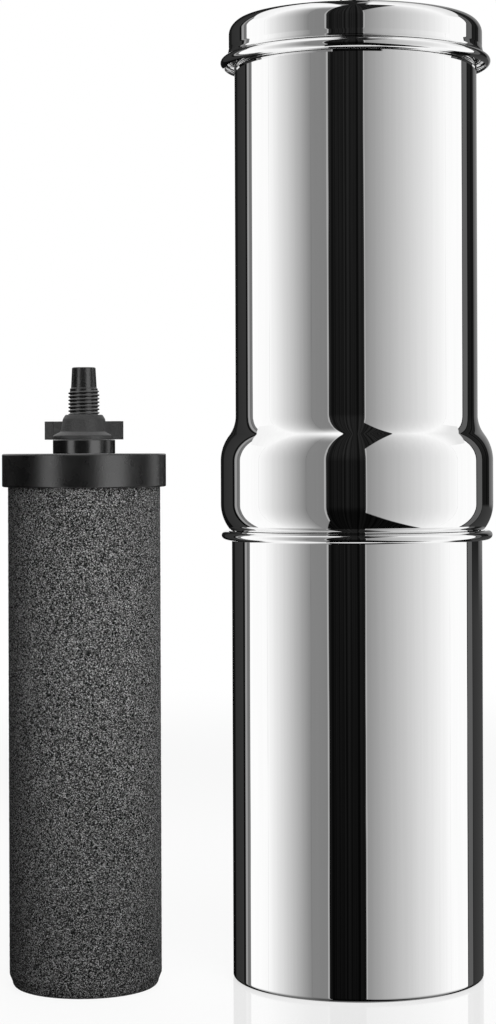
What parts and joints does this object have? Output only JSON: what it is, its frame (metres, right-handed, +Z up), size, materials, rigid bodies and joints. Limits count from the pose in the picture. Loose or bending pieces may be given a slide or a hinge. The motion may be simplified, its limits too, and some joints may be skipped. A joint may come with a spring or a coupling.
{
  "type": "gravity water filter with tap",
  "caption": "Slim stacked stainless gravity water filter with a lid, a lever tap at the back, a carbon element inside and one standing beside it.",
  "frame": {"origin": "on the axis of the stacked vessels, in the plane of the ring that the lower vessel stands on", "axes": "+Z up along the vessels' axis, -Y to the front, +Y to the tap at the back, the standing element at -X"},
  "size_m": [0.1946, 0.1659, 0.4058],
  "materials": {
    "polished_steel": "polished",
    "tap_steel": "satin",
    "carbon": "matte",
    "cap_plastic": "satin",
    "nut_plastic": "satin",
    "rubber": "matte",
    "seat_plastic": "satin"
  },
  "bodies": {
    "lower_vessel": {"lower_chamber": "polished_steel", "tap_body": "tap_steel", "tap_outer_washer": "rubber", "tap_inner_washer": "rubber", "tap_lock_nut": "tap_steel", "tap_inner_seat": "seat_plastic", "tap_outer_seat": "seat_plastic", "tap_o_ring": "rubber", "tap_gland_nut": "tap_steel", "tap_spout": "tap_steel"},
    "tap_valve": {"tap_ball": "polished_steel", "tap_spindle": "tap_steel", "tap_lever": "tap_steel", "tap_lever_screw": "tap_steel"},
    "upper_vessel": {"upper_chamber": "polished_steel", "fitted_carbon_block": "carbon", "fitted_end_cap": "cap_plastic", "fitted_seal_washer": "rubber"},
    "fitted_nut": {"fitted_wing_nut": "nut_plastic"},
    "lid_assembly": {"lid": "polished_steel", "lid_knob": "polished_steel", "lid_knob_washer": "tap_steel", "lid_knob_screw": "tap_steel"},
    "spare_element": {"spare_carbon_block": "carbon", "spare_end_cap": "cap_plastic", "spare_seal_washer": "rubber"},
    "spare_nut": {"spare_wing_nut": "nut_plastic"}
  },
  "joints": [
    {"name": "tap_turn", "type": "hinge", "parent": "lower_vessel", "child": "tap_valve", "pos_m": [0, 0.074, 0.046], "axis": [0, 0, 1], "range_deg": [0, 90]},
    {"name": "upper_vessel_lift", "type": "slide", "parent": "lower_vessel", "child": "upper_vessel", "axis": [0, 0, 1], "range_m": [0, 0.08]},
    {"name": "fitted_nut_turn", "type": "hinge", "parent": "upper_vessel", "child": "fitted_nut", "pos_m": [0, 0, 0.15], "axis": [0, 0, -1], "range_deg": [0, 360]},
    {"name": "lid_lift", "type": "slide", "parent": "upper_vessel", "child": "lid_assembly", "axis": [0, 0, 1], "range_m": [0, 0.06]},
    {"name": "spare_element_lift", "type": "slide", "parent": "lower_vessel", "child": "spare_element", "axis": [0, 0, 1], "range_m": [0, 0.15]},
    {"name": "spare_nut_turn", "type": "hinge", "parent": "spare_element", "child": "spare_nut", "pos_m": [-0.108, -0.014, 0.22], "axis": [0, 0, 1], "range_deg": [0, 360]}
  ]
}
